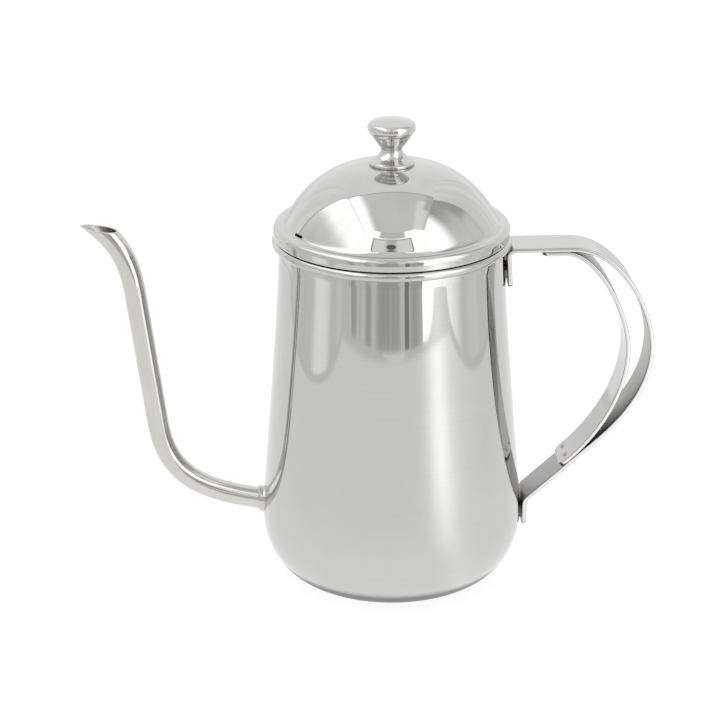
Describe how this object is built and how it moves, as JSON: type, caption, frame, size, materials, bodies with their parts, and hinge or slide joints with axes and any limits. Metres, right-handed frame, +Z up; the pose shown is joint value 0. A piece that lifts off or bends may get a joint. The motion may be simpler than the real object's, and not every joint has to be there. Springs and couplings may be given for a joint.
{
  "type": "gooseneck kettle",
  "caption": "Stainless drip kettle with a tapered body, slim curved pouring spout, domed lift-off lid with a turned knob, and a flat looped strap handle.",
  "frame": {"origin": "centre of the flat underside, on the body's axis", "axes": "+Z up along the body's axis; +X toward the handle, the spout toward -X; the spout and the handle both lie in the XZ plane"},
  "size_m": [0.2102, 0.0972, 0.1768],
  "materials": {
    "body_steel": "mirror-polished stainless steel",
    "tube_steel": "mirror-polished stainless steel, drawn tube",
    "strap_steel": "polished stainless strip with finely ground edges",
    "weld_steel": "pressed spot-weld dimples, slightly dull",
    "lid_steel": "mirror-polished stainless steel",
    "knob_steel": "turned and polished stainless steel",
    "screw_steel": "plain stainless fastener"
  },
  "bodies": {
    "pot": {"body_shell": "body_steel", "spout_tube": "tube_steel", "spout_weld_collar": "tube_steel", "handle_outer_strap": "strap_steel", "handle_inner_strap": "strap_steel", "upper_tab_spot_welds": "weld_steel", "lower_tab_spot_welds": "weld_steel", "grip_top_spot_welds": "weld_steel", "grip_bottom_spot_welds": "weld_steel"},
    "lid": {"lid_shell": "lid_steel", "lid_locating_ring": "lid_steel", "lid_knob": "knob_steel", "knob_screw": "screw_steel", "knob_washer": "screw_steel"}
  },
  "joints": [
    {"name": "lid_lift", "type": "slide", "parent": "pot", "child": "lid", "axis": [0, 0, 1], "range_m": [0, 0.06]}
  ]
}
